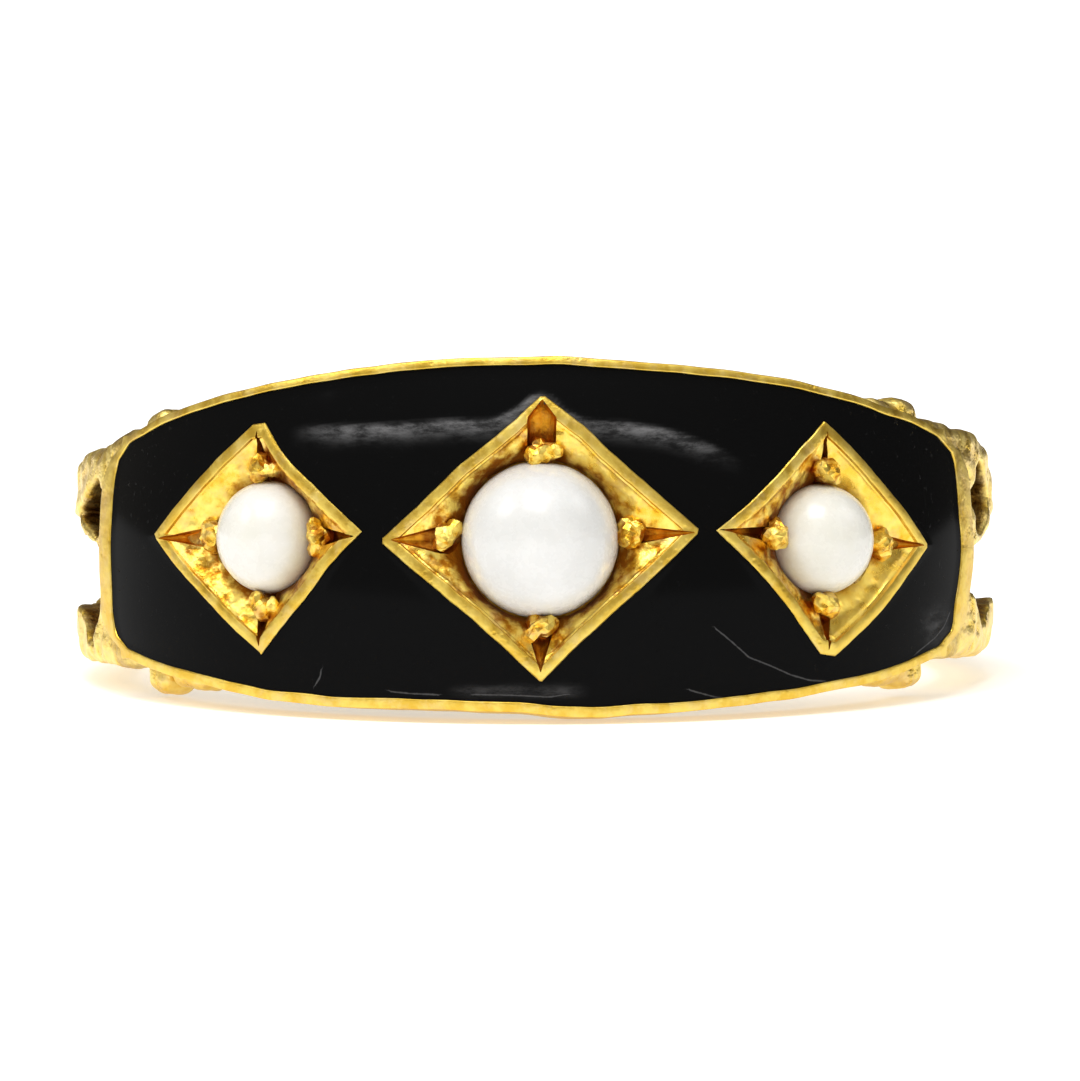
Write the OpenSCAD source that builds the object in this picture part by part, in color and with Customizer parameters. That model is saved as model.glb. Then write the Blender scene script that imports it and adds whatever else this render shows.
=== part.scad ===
// Mourning ring: a wide enamelled face with three pearls in lozenge settings, on a gold hoop with pierced shoulders.
// Millimetres. The finger axis is modelled along Z with the face towards -Y, then the ring is laid on its side.

/* [Finger] */
// Diameter of the finger hole
finger_d = 17; // [15:0.25:20]

/* [Shank] */
// Width of the shank at the back
shank_w = 2.7; // [2.2:0.1:3.4]
// Thickness of the shank at the back
shank_t = 1.15; // [0.9:0.05:1.4]

/* [Shoulders] */
// Width over the two arms of a shoulder
shoulder_w = 5; // [4.6:0.1:5.4]
// Thickness of the shoulders
shoulder_t = 1.45; // [1.25:0.05:1.55]
// Degrees over which a shoulder narrows to the shank
shoulder_a = 58; // [50:1:70]
// Width over the leaf tips behind the face
leaf_w = 6.3; // [5.9:0.1:6.7]
// Thickness of the leaf tips
leaf_t = 0.85; // [0.7:0.05:1]
// Height of the scallops on a leaf tip
scallop_h = 0.12; // [0.06:0.02:0.2]

/* [Face] */
// Width of the face at its middle
face_w = 7.7; // [7.4:0.1:8.4]
// Width of the face at its ends
face_end_w = 4.45; // [4:0.05:5]
// Thickness of the face at its crown
face_t = 1.65; // [1.6:0.05:2]
// Fall of the face from its middle line to its long rims
face_fall = 0.5; // [0.3:0.05:0.6]
// Length from a side lozenge to the end of the face
end_margin = 1.9; // [1.6:0.1:2.6]
// Bow of each end of the face
end_bow = 0.5; // [0.35:0.05:0.9]
// Width of the rim along the long sides
rim_w = 0.18; // [0.14:0.02:0.3]
// Width of the rim at the ends
end_rim_w = 0.56; // [0.3:0.02:0.7]
// Height of the rim above the enamel
rim_proud = 0.05; // [0.02:0.01:0.1]

/* [Enamel] */
// Thickness of the enamel at its crown
enamel_t = 0.8; // [0.7:0.05:0.9]
// Clearance between the enamel and the gold
enamel_gap = 0.02; // [0.01:0.01:0.04]

/* [Lozenges] */
// Length of the centre lozenge round the face
centre_len = 6.9; // [6.6:0.1:7.4]
// Height of the centre lozenge across the face
centre_h = 6.05; // [5.8:0.05:6.4]
// Length of a side lozenge round the face
side_len = 5.9; // [5.6:0.1:6.4]
// Height of a side lozenge across the face
side_h = 5; // [4.8:0.05:5.2]
// Space between two lozenges
lozenge_space = 0.4; // [0.2:0.05:0.7]
// Width of the flat edge of a lozenge
lozenge_edge = 0.25; // [0.18:0.01:0.3]
// Height of a lozenge above the enamel
lozenge_proud = 0.07; // [0.03:0.01:0.12]
// Width of a lozenge's blunt tips
tip_w = 0.1; // [0.06:0.02:0.2]
// Depth of the slopes inside a lozenge
slope_depth = 0.6; // [0.5:0.05:0.65]

/* [Pearls] */
// Diameter of the centre pearl
centre_pearl_d = 3.4; // [3.1:0.05:3.5]
// Diameter of a side pearl
side_pearl_d = 2.3; // [2.1:0.05:2.5]
// Depth of the centre pearl's widest line below the face
centre_sink = 0.65; // [0.5:0.05:0.7]
// Depth of a side pearl's widest line below the face
side_sink = 0.5; // [0.4:0.05:0.7]
// Depth of the flat back of a pearl below its widest line
pearl_back = 0.3; // [0.2:0.05:0.4]
// Clearance between a pearl and the gold
pearl_gap = 0.02; // [0.01:0.01:0.04]
// Diameter of the bead on a prong at the centre pearl
centre_bead_d = 0.62; // [0.5:0.02:0.7]
// Diameter of the bead on a prong at a side pearl
side_bead_d = 0.56; // [0.4:0.02:0.6]

/* [Hidden] */
$fn = 48;

finger_r = finger_d / 2;
face_r = finger_r + face_t;
floor_r = face_r - enamel_t;
dome_r = (pow(face_fall, 2) + pow(face_w / 2, 2)) / (2 * face_fall);
facet_a = 4;                  // degrees between the sections of a solid that is bent round the finger
inside = 0.5;                 // how far a solid reaches into the finger hole before the hole is cut
outside = 1;                  // how far a cut reaches past the surface

// Degrees round the face for a length on its crown
function face_angle(length) = length / face_r * 180 / PI;

side_a = face_angle(centre_len / 2 + lozenge_space + side_len / 2);
face_end_a = side_a + face_angle(side_len / 2 + end_margin);

// One row for each lozenge setting with its pearl and the beads that hold it
SETTING = ["name", "angle", "length", "height", "pearl", "sink", "bead"];
settings = [
    ["centre_pearl", 0, centre_len, centre_h, centre_pearl_d, centre_sink, centre_bead_d],
    ["left_pearl", -side_a, side_len, side_h, side_pearl_d, side_sink, side_bead_d],
    ["right_pearl", side_a, side_len, side_h, side_pearl_d, side_sink, side_bead_d],
];
function of_setting(row, column) = row[search([column], SETTING)[0]];

// Shoulder and shank, by the share of shoulder_a past the face's end:
// [share of the sweep, width and thickness from shank (0) to shoulder (1), squareness of the section]
hoop_rows = [
    [-0.2, 0.95, 1.0, 0.32],
    [0, 1.04, 1.0, 0.32],
    [0.12, 1.0, 1.0, 0.3],
    [0.28, 0.95, 1.0, 0.3],
    [0.42, 0.8, 0.92, 0.42],
    [0.56, 0.54, 0.75, 0.56],
    [0.72, 0.27, 0.48, 0.72],
    [0.87, 0.08, 0.2, 0.84],
    [1, 0, 0, 0.9],
];
edge_share = 0.5;             // the flat side of the hoop ends at this share of its thickness

// Outline of a leaf tip: [share of the face's end angle, share of leaf_w]
leaf_rows = [
    [0.62, 0.9],
    [0.7, 0.97],
    [0.78, 1.0],
    [0.89, 1.0],
    [0.93, 0.97],
    [0.95, 0.9],
    [0.96, 0.78],
];
scallops = 3;

// A bead's centre lies past the pearl's edge and above its widest line by these shares of the bead's radius,
// on a prong that is this share as thick as the bead
bead_out_share = 0.75;
bead_up_share = 0.9;
prong_share = 0.8;
prong_root = 0.12;            // how far a prong is sunk in the gold below the back of its pearl

// Openings of a shoulder: [share of shoulder_a past the end wall of the face, lower edge, upper edge],
// edges in shares of shoulder_w / 2. The first lies between the arms and runs down into the lower one,
// the second is the eye of the upper arm.
opening_rows = [
    [[0.01, -0.16, 0.1], [0.04, -0.36, 0.11], [0.075, -0.55, 0.12], [0.12, -0.8, 0.15], [0.16, -0.68, 0.2],
     [0.22, -0.52, 0.27], [0.31, -0.46, 0.32], [0.41, -0.4, 0.3], [0.51, -0.3, 0.23], [0.6, -0.17, 0.12],
     [0.65, -0.06, 0.02]],
    [[0.03, 0.3, 0.36], [0.06, 0.23, 0.52], [0.1, 0.25, 0.68], [0.15, 0.32, 0.74], [0.195, 0.42, 0.68],
     [0.23, 0.52, 0.57]],
];

// The ring lies on the face's lower edge in front and on the lower edge of the shank behind
lean = atan((face_w - shank_w) / 2 / (2 * finger_r + edge_share * shank_t));
lift = face_w / 2 * cos(lean) - finger_r * sin(lean);
front_y = (face_r - centre_sink) * cos(lean) + centre_pearl_d / 2;
back_y = (finger_r + shank_t) * cos(lean);

module laid_down()
    translate([0, (front_y - back_y) / 2, lift])
        rotate([-lean, 0, 0])
            children();

// Point at a radius, at an angle from the front, at a height along the finger
function polar(r, a, z) = [r * sin(a), -r * cos(a), z];

// Solid through sections at a list of angles, where a section is a list of [radius, height]
module bent(angles, sections) {
    count = len(sections[0]);
    last = len(angles) - 1;
    points = [for (i = [0:last]) for (p = sections[i]) polar(p[0], angles[i], p[1])];
    sides = [
        for (i = [0:last - 1]) for (j = [0:count - 1])
            let (a = i * count + j, b = i * count + (j + 1) % count)
                each [[a, b, a + count], [b, b + count, a + count]]
    ];
    ends = [
        [for (j = [count - 1:-1:0]) j],
        [for (j = [0:count - 1]) last * count + j]
    ];
    polyhedron(points, concat(sides, ends), convexity = 8);
}

// Solid between two radii with an outline of rows [angle, lower edge, upper edge]
module bent_sheet(rows, r_in, r_out)
    bent(
        [for (row = rows) row[0]],
        [for (row = rows) [[r_in, row[1]], [r_out, row[1]], [r_out, row[2]], [r_in, row[2]]]]
    );

// Angles from one to another in even steps
function angle_steps(from, to, step = facet_a) =
    let (count = 2 * ceil((to - from) / step / 2))
        [for (i = [0:count]) from + (to - from) * i / count];

// Half width of the face at an angle
function face_half_w(a) =
    (face_w - (face_w - face_end_w) * pow(a / face_end_a, 2)) / 2;

// Outline of the face, drawn in by one width along its sides and by another at its ends
function face_outline(side_in, end_in) =
    let (
        corner_a = face_end_a - face_angle(end_in),
        corner_w = face_half_w(corner_a) - side_in,
        bow_r = (pow(end_bow, 2) + pow(corner_w, 2)) / (2 * end_bow),
        bow = [for (share = [0.3, 0.6, 0.8, 0.93, 0.99])
            let (w = sqrt(pow(bow_r, 2) - pow(bow_r - end_bow * (1 - share), 2)))
                [corner_a + face_angle(end_bow * share), w]],
        side = [for (a = angle_steps(-corner_a, corner_a)) [a, face_half_w(a) - side_in]],
        half = concat([for (i = [len(bow) - 1:-1:0]) [-bow[i][0], bow[i][1]]], side, bow)
    )
        [for (row = half) [row[0], -row[1], row[1]]];

// Outline of a lozenge, grown all round by a clearance
function lozenge_outline(setting, grow) =
    let (
        a = of_setting(setting, "length") / 2,
        b = of_setting(setting, "height") / 2,
        slant = sqrt(a * a + b * b),
        half_len = a + grow * slant / b,
        half_h = b + grow * slant / a,
        reach = half_len * (1 - tip_w / 2 / half_h)
    )
        [for (s = angle_steps(-reach, reach, reach / 5))
            let (w = half_h * (1 - abs(s) / half_len))
                [of_setting(setting, "angle") + face_angle(s), -w, w]];

// Domed band round the finger that rises above the enamel by a height
module dome(rise)
    rotate_extrude($fn = 180)
        intersection() {
            translate([face_r + rise - dome_r, 0])
                circle(r = dome_r, $fn = 720);
            translate([finger_r - inside, -face_w])
                square([face_r, 2 * face_w]);
        }

module face_sheet(side_in, end_in)
    bent_sheet(face_outline(side_in, end_in), finger_r - inside, face_r + outside);

module lozenge_sheet(setting, grow)
    bent_sheet(lozenge_outline(setting, grow), finger_r + (floor_r - finger_r) / 2, face_r + outside);

// Children at the middle of a setting's pearl, with their z axis pointing away from the finger
module at_pearl(setting)
    rotate([0, 0, of_setting(setting, "angle")])
        translate([0, of_setting(setting, "sink") - face_r, 0])
            rotate([90, 0, 0])
                children();

module hoop() {
    from = face_end_a + hoop_rows[0][0] * shoulder_a;
    angles = angle_steps(from, 360 - from);
    rounding = [0, 25, 50, 70, 90];
    sections = [
        for (a = angles)
            let (
                share = ((a > 180 ? 360 - a : a) - face_end_a) / shoulder_a,
                width = lookup(share, [for (row = hoop_rows) [row[0], row[1]]]),
                thick = lookup(share, [for (row = hoop_rows) [row[0], row[2]]]),
                square = lookup(share, [for (row = hoop_rows) [row[0], row[3]]]),
                w = (shank_w + (shoulder_w - shank_w) * width) / 2,
                t = shank_t + (shoulder_t - shank_t) * thick,
                edge_r = finger_r + edge_share * t,
                crown = [for (c = rounding)
                    [edge_r + (1 - edge_share) * t * pow(sin(c), square), w * pow(cos(c), square)]]
            )
                concat(
                    [[finger_r - inside, -w]],
                    [for (p = crown) [p[0], -p[1]]],
                    [for (i = [len(crown) - 2:-1:0]) crown[i]],
                    [[finger_r - inside, w]]
                )
    ];
    bent(angles, sections);
}

// Leaf tips of both edges behind one end of the face
module leaf_tips() {
    from = leaf_rows[0][0];
    to = leaf_rows[len(leaf_rows) - 1][0];
    steps = 8 * scallops;
    rows = [
        for (i = [0:steps])
            let (
                share = from + (to - from) * i / steps,
                w = lookup(share, leaf_rows) * leaf_w / 2
                    + scallop_h * (abs(sin(180 * scallops * i / steps)) - 1)
            )
                [face_end_a * share, -w, w]
    ];
    bent_sheet(rows, finger_r - inside, finger_r + leaf_t);
}

module shoulder_openings() {
    from = face_end_a + face_angle(end_bow);
    for (rows = opening_rows)
        bent_sheet(
            [for (row = rows) [from + row[0] * shoulder_a, row[1] * shoulder_w / 2, row[2] * shoulder_w / 2]],
            finger_r - inside,
            finger_r + shoulder_t + outside
        );
}

// Slopes inside a lozenge, from its flat edge down to the pearl
module lozenge_slopes(setting) {
    a = of_setting(setting, "length") / 2;
    b = of_setting(setting, "height") / 2;
    slant = sqrt(a * a + b * b);
    in_len = a - lozenge_edge * slant / b;
    in_h = b - lozenge_edge * slant / a;
    pearl_r = of_setting(setting, "pearl") / 2 + pearl_gap;
    count = 32;
    over = 1.5;                // the cut runs on past the edge by this share of the slopes
    function at(rho, c, depth) =
        let (z = rho * sin(c))
            polar(
                face_r + lozenge_proud - (dome_r - sqrt(pow(dome_r, 2) - z * z)) - depth,
                of_setting(setting, "angle") + face_angle(rho * cos(c)),
                z
            );
    turns = [for (i = [0:count - 1]) 360 * i / count];
    low = [for (c = turns) at(pearl_r, c, slope_depth)];
    high = [
        for (c = turns)
            let (rho = 1 / (abs(cos(c)) / in_len + abs(sin(c)) / in_h))
                at(pearl_r + (rho - pearl_r) * over, c, slope_depth * (1 - over))
    ];
    middle = [at(0, 0, slope_depth), at(0, 0, slope_depth * (1 - over))];
    faces = [
        for (i = [0:count - 1])
            let (j = (i + 1) % count)
                each [[j, i, i + count], [j, i + count, j + count],
                      [i, j, 2 * count], [j + count, i + count, 2 * count + 1]]
    ];
    polyhedron(concat(low, high, middle), faces, convexity = 4);
}

// Four prongs with a bead each, which hold the pearl
module prongs(setting) {
    bead_r = of_setting(setting, "bead") / 2;
    pearl_r = of_setting(setting, "pearl") / 2;
    for (turn = [0:90:270])
        at_pearl(setting)
            rotate([0, 0, turn])
                translate([pearl_r + bead_r * bead_out_share, 0, 0]) {
                    translate([0, 0, bead_r * bead_up_share])
                        sphere(r = bead_r, $fn = 24);
                    translate([0, 0, -pearl_back - prong_root])
                        cylinder(r = bead_r * prong_share, h = pearl_back + prong_root + bead_r * bead_up_share, $fn = 24);
                }
}

// Pearl with a flat back, grown all round by a clearance
module pearl_solid(setting, grow)
    at_pearl(setting)
        intersection() {
            sphere(r = of_setting(setting, "pearl") / 2 + grow, $fn = 96);
            translate([-face_w, -face_w, -pearl_back - grow])
                cube([2 * face_w, 2 * face_w, face_w]);
        }

module gold_ring()
    color([0.86, 0.66, 0.2])
        difference() {
            union() {
                difference() {
                    union() {
                        hoop();
                        leaf_tips();
                        mirror([1, 0, 0])
                            leaf_tips();
                        intersection() {
                            dome(rim_proud);
                            face_sheet(0, 0);
                        }
                    }
                    difference() {
                        face_sheet(rim_w, end_rim_w);
                        cylinder(r = floor_r, h = 2 * face_w, center = true, $fn = 180);
                    }
                }
                difference() {
                    intersection() {
                        dome(lozenge_proud);
                        for (setting = settings)
                            lozenge_sheet(setting, 0);
                    }
                    for (setting = settings)
                        lozenge_slopes(setting);
                }
                for (setting = settings)
                    prongs(setting);
            }
            for (setting = settings)
                pearl_solid(setting, pearl_gap);
            shoulder_openings();
            mirror([1, 0, 0])
                shoulder_openings();
            cylinder(r = finger_r, h = 2 * face_w, center = true, $fn = 180);
        }

module enamel_panel()
    color([0.04, 0.04, 0.05])
        difference() {
            intersection() {
                dome(0);
                face_sheet(rim_w + enamel_gap, end_rim_w + enamel_gap);
            }
            cylinder(r = floor_r + enamel_gap, h = 2 * face_w, center = true, $fn = 180);
            for (setting = settings)
                lozenge_sheet(setting, enamel_gap);
        }

module pearl(name)
    color([0.93, 0.91, 0.87])
        for (setting = settings)
            if (of_setting(setting, "name") == name)
                pearl_solid(setting, 0);

laid_down() gold_ring();
laid_down() enamel_panel();
laid_down() pearl("centre_pearl");  // centre_pearl
laid_down() pearl("left_pearl");  // left_pearl
laid_down() pearl("right_pearl");  // right_pearl
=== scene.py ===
# Mourning ring with a black enamelled face, pearls in lozenge settings and pierced shoulders.
# Each piece is modelled in millimetres as if the face were rolled out flat: X along the finger's
# round, Z across the band, -Y away from the finger. Then it is bent round the finger, leaned back
# and scaled down to metres.
import math

import bpy
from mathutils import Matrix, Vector, noise


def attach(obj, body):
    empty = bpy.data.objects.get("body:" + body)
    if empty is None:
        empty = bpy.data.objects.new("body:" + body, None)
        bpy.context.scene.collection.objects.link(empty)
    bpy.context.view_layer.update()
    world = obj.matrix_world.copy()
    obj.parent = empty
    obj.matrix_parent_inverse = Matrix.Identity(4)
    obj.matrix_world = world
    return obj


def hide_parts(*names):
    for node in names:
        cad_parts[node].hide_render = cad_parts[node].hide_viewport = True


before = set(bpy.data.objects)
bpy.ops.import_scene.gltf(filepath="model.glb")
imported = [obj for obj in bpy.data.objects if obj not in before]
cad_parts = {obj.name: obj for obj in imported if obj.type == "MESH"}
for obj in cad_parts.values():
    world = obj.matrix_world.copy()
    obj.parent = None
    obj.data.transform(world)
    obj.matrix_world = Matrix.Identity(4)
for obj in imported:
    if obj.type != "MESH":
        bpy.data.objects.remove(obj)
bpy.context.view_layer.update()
print("frame loaded,", len(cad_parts), "nodes")

ringShape = {
    "fingerRadius": 8.5,
    "faceRadius": 10.15,   # the crown of the enamel
    "domeRadius": 15.07,   # how the face falls to its long edges
    "lean": -8.0959,       # degrees, it lies on the face's lower edge and the back of the shank
    "back": 0.775747,      # the middle of the ring from the origin
    "lift": 2.614576,
}
faceRadius = ringShape["faceRadius"]
fingerSide = ringShape["fingerRadius"] - faceRadius   # height of the finger's wall under the crown
ringMiddle = (0, ringShape["back"] / 1000, ringShape["lift"] / 1000)


# picking, editing and shaping

def objectMode():
    if bpy.context.object and bpy.context.object.mode != "OBJECT":
        bpy.ops.object.mode_set(mode="OBJECT")


def deselectAll():
    objectMode()
    bpy.ops.object.select_all(action="DESELECT")


def pick(*objects):
    deselectAll()
    for obj in objects:
        obj.select_set(True)
    bpy.context.view_layer.objects.active = objects[0]
    return objects[0]


def newest(name):
    obj = bpy.context.object
    obj.name = name
    return obj


def joinAll(parts, name):
    pick(*parts)
    bpy.ops.object.join()
    return newest(name)


def applyAll(obj):
    pick(obj)
    bpy.ops.object.transform_apply(location=True, rotation=True, scale=True)


def modify(obj, kind, **values):
    pick(obj)
    step = obj.modifiers.new(kind.lower(), kind)
    for name, value in values.items():
        setattr(step, name, value)
    bpy.ops.object.modifier_apply(modifier=step.name)


def carve(obj, cutter, **values):
    modify(obj, "BOOLEAN", object=cutter, operation="DIFFERENCE", solver="EXACT", **values)
    bpy.data.objects.remove(cutter)


def weld(obj, voxel):
    modify(obj, "REMESH", mode="VOXEL", voxel_size=voxel, adaptivity=0)


def clouds(obj, size, strength):
    texture = bpy.data.textures.new("handWork", "CLOUDS")
    texture.noise_scale = size
    texture.noise_depth = 2
    modify(obj, "DISPLACE", texture=texture, texture_coords="LOCAL", strength=strength, mid_level=0.5)


def moveEach(obj, place):
    for vertex in obj.data.vertices:
        vertex.co = place(vertex.co)
    obj.data.update()


def editAll(obj):
    pick(obj)
    bpy.ops.object.mode_set(mode="EDIT")
    bpy.ops.mesh.select_all(action="SELECT")


def editFaces(obj, wanted):
    editAll(obj)
    bpy.ops.mesh.select_mode(type="FACE")
    bpy.ops.mesh.select_all(action="DESELECT")
    objectMode()
    for face in obj.data.polygons:
        face.select = wanted(face)
    bpy.ops.object.mode_set(mode="EDIT")


def facesOut(obj):
    editAll(obj)
    bpy.ops.mesh.normals_make_consistent(inside=False)
    objectMode()


def turnOut(obj, face):
    # a sheet is turned over if this face of it looks towards the finger
    if face.normal.y > 0:
        editAll(obj)
        bpy.ops.mesh.flip_normals()
        objectMode()


def newGrid(name, along, across):
    deselectAll()
    bpy.ops.mesh.primitive_grid_add(x_subdivisions=along, y_subdivisions=across, size=2)
    return newest(name)


def loft(name, rings):
    # a circle is shaped to the first ring, then its edges are extruded to each next one
    count = len(rings[0])
    deselectAll()
    bpy.ops.mesh.primitive_circle_add(vertices=count, fill_type="NOTHING")
    obj = newest(name)
    for vertex, point in zip(obj.data.vertices, rings[0]):
        vertex.co = point
    editAll(obj)
    bpy.ops.mesh.edge_face_add()
    bpy.ops.mesh.select_mode(type="EDGE")
    bpy.ops.mesh.select_all(action="SELECT")
    for ring, nextRing in zip(rings, rings[1:]):
        bpy.ops.mesh.extrude_edges_move()
        objectMode()
        # the new points come in another order, so each one is known by its place
        place = {tuple(round(c, 4) for c in point): after for point, after in zip(ring, nextRing)}
        for vertex in obj.data.vertices[-count:]:
            vertex.co = place[tuple(round(c, 4) for c in vertex.co)]
        bpy.ops.object.mode_set(mode="EDIT")
    bpy.ops.mesh.edge_face_add()
    facesOut(obj)
    return obj


def curveThrough(rows, x, column=1):
    # smooth value at x through rows of (x, value, another value)
    def point(k):
        return rows[k][0], rows[k][column]

    x = min(max(x, rows[0][0]), rows[-1][0])
    i = max(k for k in range(len(rows) - 1) if rows[k][0] <= x)
    (x1, y1), (x2, y2) = point(i), point(i + 1)
    x0, y0 = point(i - 1) if i else (2 * x1 - x2, 2 * y1 - y2)
    x3, y3 = point(i + 2) if i + 2 < len(rows) else (2 * x2 - x1, 2 * y2 - y1)
    t = (x - x1) / (x2 - x1)
    slope1 = (y2 - y0) / (x2 - x0) * (x2 - x1)
    slope2 = (y3 - y1) / (x3 - x1) * (x2 - x1)
    return ((2 * t**3 - 3 * t**2 + 1) * y1 + (t**3 - 2 * t**2 + t) * slope1
            + (3 * t**2 - 2 * t**3) * y2 + (t**3 - t**2) * slope2)


def smoothStep(low, high, x):
    t = min(max((x - low) / (high - low), 0), 1)
    return t * t * (3 - 2 * t)


def bell(x, width):
    # 1 where x is 0, and next to nothing past twice the width
    return math.exp(-((x / width) ** 2))


def turned(way):
    return Vector((-way.y, way.x))


def dome(z):
    return math.sqrt(ringShape["domeRadius"] ** 2 - z * z) - ringShape["domeRadius"]


def bendRound(obj):
    xs = [v.co.x for v in obj.data.vertices]
    modify(obj, "SIMPLE_DEFORM", deform_method="BEND", deform_axis="Z",
           angle=(max(xs) - min(xs)) / faceRadius)
    moveEach(obj, lambda p: Vector((p.x, p.y - faceRadius, p.z)))


def layDown(obj):
    obj.scale = (0.001, 0.001, 0.001)
    obj.rotation_euler = (math.radians(ringShape["lean"]), 0, 0)
    obj.location = ringMiddle
    applyAll(obj)
    moveEach(obj, lambda p: Vector((p.x, p.y, max(p.z, 0))))   # nothing sinks into the floor


def keepValues(obj, name, values):
    # a value for each vertex that the materials read
    layer = obj.data.attributes.new(name, "FLOAT", "POINT")
    layer.data.foreach_set("value", values)


def tint(obj, name, amount):
    keepValues(obj, name, [amount(v.co) for v in obj.data.vertices])


def tintBySlant(obj, name, amount, rounds=4):
    # the value also depends on the way the surface faces, and is evened out over its neighbours
    values = [amount(v.co, v.normal) for v in obj.data.vertices]
    pairs = [tuple(e.vertices) for e in obj.data.edges]
    for _ in range(rounds):
        total, count = values[:], [1] * len(values)
        for a, b in pairs:
            total[a] += values[b]
            total[b] += values[a]
            count[a] += 1
            count[b] += 1
        values = [t / c for t, c in zip(total, count)]
    keepValues(obj, name, values)


def complete(obj, material, nodes, angle):
    layDown(obj)
    pick(obj)
    if not obj.data.materials:
        obj.data.materials.append(material)
    bpy.ops.object.shade_smooth_by_angle(angle=math.radians(angle))
    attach(obj, "root")
    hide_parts(*nodes)
    print(obj.name, len(obj.data.polygons), "faces")


# shader nodes

white = (1, 1, 1, 1)


def feed(tree, node, values):
    # numbers and colours are set on the node's own sockets, outputs of other nodes are linked
    for label, value in values.items():
        if isinstance(value, bpy.types.NodeSocket):
            tree.links.new(value, node.inputs[label])
        else:
            node.inputs[label].default_value = value


def mathNode(tree, how, *values, clamp=False):
    node = tree.nodes.new("ShaderNodeMath")
    node.operation = how
    node.use_clamp = clamp
    feed(tree, node, dict(enumerate(values)))
    return node.outputs[0]


def times(tree, a, b):
    return mathNode(tree, "MULTIPLY", a, b)


def noiseNode(tree, vector, scale, detail, rough):
    node = tree.nodes.new("ShaderNodeTexNoise")
    feed(tree, node, {"Vector": vector, "Scale": scale, "Detail": detail, "Roughness": rough})
    return node.outputs["Fac"]


def rampNode(tree, value, low, high, toLow=0.0, toHigh=1.0, how="SMOOTHSTEP"):
    node = tree.nodes.new("ShaderNodeMapRange")
    node.interpolation_type = how
    feed(tree, node, {"Value": value, "From Min": low, "From Max": high, "To Min": toLow, "To Max": toHigh})
    return node.outputs["Result"]


def mixColours(tree, factor, a, b):
    node = tree.nodes.new("ShaderNodeMix")
    node.data_type = "RGBA"
    feed(tree, node, {0: factor, 6: a, 7: b})   # the colour sockets share their names with others
    return node.outputs[2]


def bumpNode(tree, height, strength, depth):
    node = tree.nodes.new("ShaderNodeBump")
    feed(tree, node, {"Height": height, "Strength": strength, "Distance": depth})
    return node.outputs["Normal"]


def valueNode(tree, name):
    node = tree.nodes.new("ShaderNodeAttribute")
    node.attribute_name = name
    return node.outputs["Fac"]


def groupNode(tree, group, values):
    node = tree.nodes.new("ShaderNodeGroup")
    node.node_tree = group
    feed(tree, node, values)
    return node.outputs


def placeNode(tree):
    return tree.nodes.new("ShaderNodeTexCoord").outputs["Object"]


def newMaterial(name):
    material = bpy.data.materials.new(name)
    material.use_nodes = True
    tree = material.node_tree
    return material, tree, tree.nodes["Principled BSDF"]


def newGroup(name, ins, outs):
    group = bpy.data.node_groups.new(name, "ShaderNodeTree")
    for label, kind, value in ins:
        socket = group.interface.new_socket(label, in_out="INPUT", socket_type="NodeSocket" + kind)
        if value is not None:
            socket.default_value = value
    for label, kind in outs:
        group.interface.new_socket(label, in_out="OUTPUT", socket_type="NodeSocket" + kind)
    return group, group.nodes.new("NodeGroupInput").outputs, group.nodes.new("NodeGroupOutput")


# camera, floor and light

shot = {
    "rise": 5.8,           # degrees above the floor
    "turn": -0.8,          # degrees, from the ring's left
    "distance": 0.6,
    "picture": (1080, 1081),
    "perPixel": 0.0000217,
    "ringAt": (534, 555),  # the ring's middle in the picture
    "clip": (0.01, 20),
}


def addPointing(name, data, place, way):
    obj = bpy.data.objects.new(name, data)
    bpy.context.collection.objects.link(obj)
    obj.location = place
    obj.rotation_euler = way.to_track_quat("-Z", "Y").to_euler()
    return obj


def addCamera():
    rise, turn = math.radians(shot["rise"]), math.radians(shot["turn"])
    back = Vector((math.sin(turn) * math.cos(rise), -math.cos(turn) * math.cos(rise), math.sin(rise)))
    right = (-back).cross(Vector((0, 0, 1))).normalized()
    up = right.cross(-back)
    (width, height), (ringX, ringY) = shot["picture"], shot["ringAt"]
    aim = (Vector(ringMiddle) + right * (width / 2 - ringX) * shot["perPixel"]
           + up * (ringY - height / 2) * shot["perPixel"])
    data = bpy.data.cameras.new("camera")
    data.lens = data.sensor_width * shot["distance"] / (height * shot["perPixel"])
    data.clip_start, data.clip_end = shot["clip"]
    bpy.context.scene.camera = addPointing("camera", data, aim + back * shot["distance"], -back)


studio = {
    "floorSize": 3,
    "floorColour": (0.93, 0.93, 0.93, 1),
    "floorRough": 0.9,
    "glow": 0.36,           # the floor is a light table
    "seen": 1.0,            # brightness of the world where the camera sees it
    "low": 0.42,            # around the horizon
    "lowColour": (1.0, 0.92, 0.78, 1),
    "high": 1.04,           # overhead
    "band": (0.42, 0.85),   # sines of the heights between which it brightens
    "dimSide": (0.6, 0.8, 0),   # behind the ring and to its right
    "dimFade": (-0.1, 0.8),     # towards that side, where the light begins and ends to fade
    "dimmed": 0.3,              # share of the light that comes from there
}


def addFloor():
    deselectAll()
    bpy.ops.mesh.primitive_plane_add(size=studio["floorSize"], location=(0, 0, 0))
    floor = newest("floor")
    material, tree, shader = newMaterial("paleFloor")
    feed(tree, shader, {"Base Color": studio["floorColour"], "Roughness": studio["floorRough"],
                        "Specular IOR Level": 0, "Emission Color": white,
                        "Emission Strength": studio["glow"]})
    floor.data.materials.append(material)


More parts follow.
